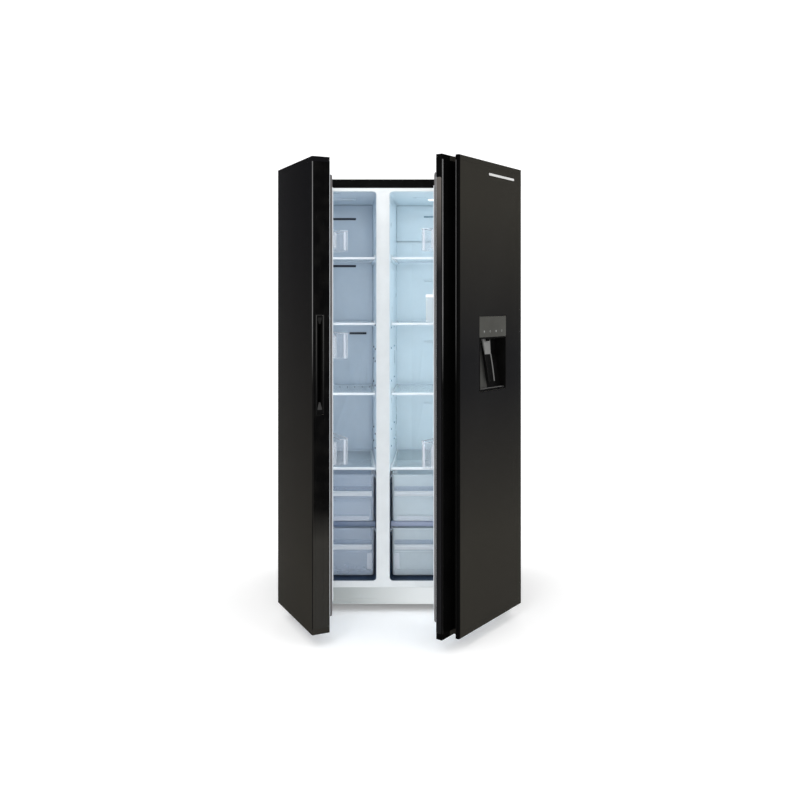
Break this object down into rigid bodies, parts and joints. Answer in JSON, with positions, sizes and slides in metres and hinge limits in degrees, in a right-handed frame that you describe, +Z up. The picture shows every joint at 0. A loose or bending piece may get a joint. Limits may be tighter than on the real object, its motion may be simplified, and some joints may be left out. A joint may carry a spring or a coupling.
{
  "type": "side by side refrigerator",
  "caption": "Side by side refrigerator with swinging freezer and fridge doors, glass shelves, sliding drawers, lift-off door bins and a water dispenser.",
  "frame": {"origin": "centre of the base of the whole refrigerator as it stands with both doors part open, on the floor", "axes": "+Z up, -Y towards the front where the doors are, +X towards the fridge side"},
  "size_m": [0.9677, 1.0404, 1.778],
  "materials": {
    "outer_shell": "gloss",
    "back_panel": "matt",
    "insulation": "matt foam",
    "freezer_liner": "gloss",
    "fridge_liner": "gloss",
    "front_frame": "gloss",
    "top_rail": "satin",
    "base_pan": "galvanised",
    "kick_plate": "satin",
    "machine_cover": "matt",
    "compressor": "semi-gloss",
    "condenser": "matt",
    "condenser_fan": "matt",
    "drain_tray": "matt",
    "evaporator": "bare",
    "evaporator_fan": "matt",
    "freezer_duct_cover": "satin",
    "fridge_duct_cover": "satin",
    "ceiling_lamps": "frosted",
    "freezer_shelves": "gloss",
    "freezer_glass": "clear",
    "fridge_shelves": "gloss",
    "fridge_glass": "clear",
    "top_hinges": "zinc plated",
    "bottom_hinges": "zinc plated",
    "hinge_covers": "satin",
    "roller_brackets": "zinc plated",
    "roller_left": "satin",
    "roller_right": "satin",
    "foot_left": "satin",
    "foot_right": "satin",
    "freezer_drawer_upper": "clear",
    "freezer_drawer_lower": "clear",
    "fridge_drawer_upper": "clear",
    "fridge_drawer_lower": "clear",
    "freezer_door_skin": "gloss",
    "freezer_door_core": "matt foam",
    "freezer_door_liner": "satin",
    "freezer_door_gasket": "soft",
    "freezer_door_caps": "satin",
    "freezer_handle_pocket": "gloss",
    "fridge_door_skin": "gloss",
    "fridge_door_core": "matt foam",
    "fridge_door_liner": "satin",
    "fridge_door_gasket": "soft",
    "fridge_door_caps": "satin",
    "fridge_grip_channel": "gloss",
    "dispenser_housing": "satin",
    "dispenser_nozzle": "satin",
    "dispenser_paddle": "gloss",
    "water_tank": "clear",
    "tank_lid": "gloss",
    "freezer_bin_top": "clear",
    "freezer_bin_middle": "clear",
    "freezer_bin_lower": "clear",
    "freezer_bin_shallow": "clear",
    "fridge_bin_top": "clear",
    "fridge_bin_lower": "clear",
    "fridge_bin_shallow": "clear"
  },
  "bodies": {
    "cabinet": {"outer_shell": "outer_shell", "back_panel": "back_panel", "insulation": "insulation", "freezer_liner": "freezer_liner", "fridge_liner": "fridge_liner", "front_frame": "front_frame", "top_rail": "top_rail", "base_pan": "base_pan", "kick_plate": "kick_plate", "machine_cover": "machine_cover", "compressor": "compressor", "condenser": "condenser", "drain_tray": "drain_tray", "evaporator": "evaporator", "freezer_duct_cover": "freezer_duct_cover", "fridge_duct_cover": "fridge_duct_cover", "ceiling_lamps": "ceiling_lamps", "freezer_shelves": "freezer_shelves", "freezer_glass": "freezer_glass", "fridge_shelves": "fridge_shelves", "fridge_glass": "fridge_glass", "top_hinges": "top_hinges", "bottom_hinges": "bottom_hinges", "hinge_covers": "hinge_covers", "roller_brackets": "roller_brackets"},
    "freezer_door": {"freezer_door_skin": "freezer_door_skin", "freezer_door_core": "freezer_door_core", "freezer_door_liner": "freezer_door_liner", "freezer_door_gasket": "freezer_door_gasket", "freezer_door_caps": "freezer_door_caps", "freezer_handle_pocket": "freezer_handle_pocket"},
    "fridge_door": {"fridge_door_skin": "fridge_door_skin", "fridge_door_core": "fridge_door_core", "fridge_door_liner": "fridge_door_liner", "fridge_door_gasket": "fridge_door_gasket", "fridge_door_caps": "fridge_door_caps", "fridge_grip_channel": "fridge_grip_channel", "dispenser_housing": "dispenser_housing", "dispenser_nozzle": "dispenser_nozzle"},
    "condenser_fan": {"condenser_fan": "condenser_fan"},
    "evaporator_fan": {"evaporator_fan": "evaporator_fan"},
    "roller_left": {"roller_left": "roller_left"},
    "roller_right": {"roller_right": "roller_right"},
    "foot_left": {"foot_left": "foot_left"},
    "foot_right": {"foot_right": "foot_right"},
    "freezer_drawer_upper": {"freezer_drawer_upper": "freezer_drawer_upper"},
    "freezer_drawer_lower": {"freezer_drawer_lower": "freezer_drawer_lower"},
    "fridge_drawer_upper": {"fridge_drawer_upper": "fridge_drawer_upper"},
    "fridge_drawer_lower": {"fridge_drawer_lower": "fridge_drawer_lower"},
    "dispenser_paddle": {"dispenser_paddle": "dispenser_paddle"},
    "water_tank": {"water_tank": "water_tank"},
    "tank_lid": {"tank_lid": "tank_lid"},
    "freezer_bin_top": {"freezer_bin_top": "freezer_bin_top"},
    "freezer_bin_middle": {"freezer_bin_middle": "freezer_bin_middle"},
    "freezer_bin_lower": {"freezer_bin_lower": "freezer_bin_lower"},
    "freezer_bin_shallow": {"freezer_bin_shallow": "freezer_bin_shallow"},
    "fridge_bin_top": {"fridge_bin_top": "fridge_bin_top"},
    "fridge_bin_lower": {"fridge_bin_lower": "fridge_bin_lower"},
    "fridge_bin_shallow": {"fridge_bin_shallow": "fridge_bin_shallow"}
  },
  "joints": [
    {"name": "freezer_door_hinge", "type": "hinge", "parent": "cabinet", "child": "freezer_door", "pos_m": [-0.436, -0.11779, 0.9], "axis": [0, 0, -1], "range_deg": [-64, 56]},
    {"name": "fridge_door_hinge", "type": "hinge", "parent": "cabinet", "child": "fridge_door", "pos_m": [0.436, -0.11779, 0.9], "axis": [0, 0, 1], "range_deg": [-54, 66]},
    {"name": "freezer_drawer_upper_slide", "type": "slide", "parent": "cabinet", "child": "freezer_drawer_upper", "axis": [0, -1, 0], "range_m": [0, 0.06]},
    {"name": "freezer_drawer_lower_slide", "type": "slide", "parent": "cabinet", "child": "freezer_drawer_lower", "axis": [0, -1, 0], "range_m": [0, 0.06]},
    {"name": "fridge_drawer_upper_slide", "type": "slide", "parent": "cabinet", "child": "fridge_drawer_upper", "axis": [0, -1, 0], "range_m": [0, 0.06]},
    {"name": "fridge_drawer_lower_slide", "type": "slide", "parent": "cabinet", "child": "fridge_drawer_lower", "axis": [0, -1, 0], "range_m": [0, 0.06]},
    {"name": "condenser_fan_spin", "type": "hinge", "parent": "cabinet", "child": "condenser_fan", "pos_m": [0, 0.43221, 0.165], "axis": [1, 0, 0], "continuous": true},
    {"name": "evaporator_fan_spin", "type": "hinge", "parent": "cabinet", "child": "evaporator_fan", "pos_m": [-0.26132, 0.41521, 0.8], "axis": [0, 1, 0], "continuous": true},
    {"name": "foot_left_turn", "type": "hinge", "parent": "cabinet", "child": "foot_left", "pos_m": [-0.394, -0.03779, 0.04], "axis": [0, 0, 1], "continuous": true},
    {"name": "roller_left_roll", "type": "hinge", "parent": "cabinet", "child": "roller_left", "pos_m": [-0.394, 0.46221, 0.022], "axis": [1, 0, 0], "continuous": true},
    {"name": "foot_right_turn", "type": "hinge", "parent": "cabinet", "child": "foot_right", "pos_m": [0.394, -0.03779, 0.04], "axis": [0, 0, 1], "continuous": true},
    {"name": "roller_right_roll", "type": "hinge", "parent": "cabinet", "child": "roller_right", "pos_m": [0.394, 0.46221, 0.022], "axis": [1, 0, 0], "continuous": true},
    {"name": "dispenser_paddle_press", "type": "hinge", "parent": "fridge_door", "child": "dispenser_paddle", "pos_m": [0.32396, -0.29412, 1.088], "axis": [0.5878, 0.809, 0], "range_deg": [0, 6], "stiffness_Nm_per_rad": 0.3, "springref_deg": -4.58},
    {"name": "water_tank_lift", "type": "slide", "parent": "fridge_door", "child": "water_tank", "axis": [0, 0, 1], "range_m": [0, 0.016]},
    {"name": "tank_lid_lift", "type": "slide", "parent": "water_tank", "child": "tank_lid", "axis": [0, 0, 1], "range_m": [0, 0.02]},
    {"name": "freezer_bin_top_lift", "type": "slide", "parent": "freezer_door", "child": "freezer_bin_top", "axis": [0, 0, 1], "range_m": [0, 0.025]},
    {"name": "freezer_bin_middle_lift", "type": "slide", "parent": "freezer_door", "child": "freezer_bin_middle", "axis": [0, 0, 1], "range_m": [0, 0.025]},
    {"name": "freezer_bin_lower_lift", "type": "slide", "parent": "freezer_door", "child": "freezer_bin_lower", "axis": [0, 0, 1], "range_m": [0, 0.025]},
    {"name": "freezer_bin_shallow_lift", "type": "slide", "parent": "freezer_door", "child": "freezer_bin_shallow", "axis": [0, 0, 1], "range_m": [0, 0.025]},
    {"name": "fridge_bin_top_lift", "type": "slide", "parent": "fridge_door", "child": "fridge_bin_top", "axis": [0, 0, 1], "range_m": [0, 0.025]},
    {"name": "fridge_bin_lower_lift", "type": "slide", "parent": "fridge_door", "child": "fridge_bin_lower", "axis": [0, 0, 1], "range_m": [0, 0.025]},
    {"name": "fridge_bin_shallow_lift", "type": "slide", "parent": "fridge_door", "child": "fridge_bin_shallow", "axis": [0, 0, 1], "range_m": [0, 0.025]}
  ]
}
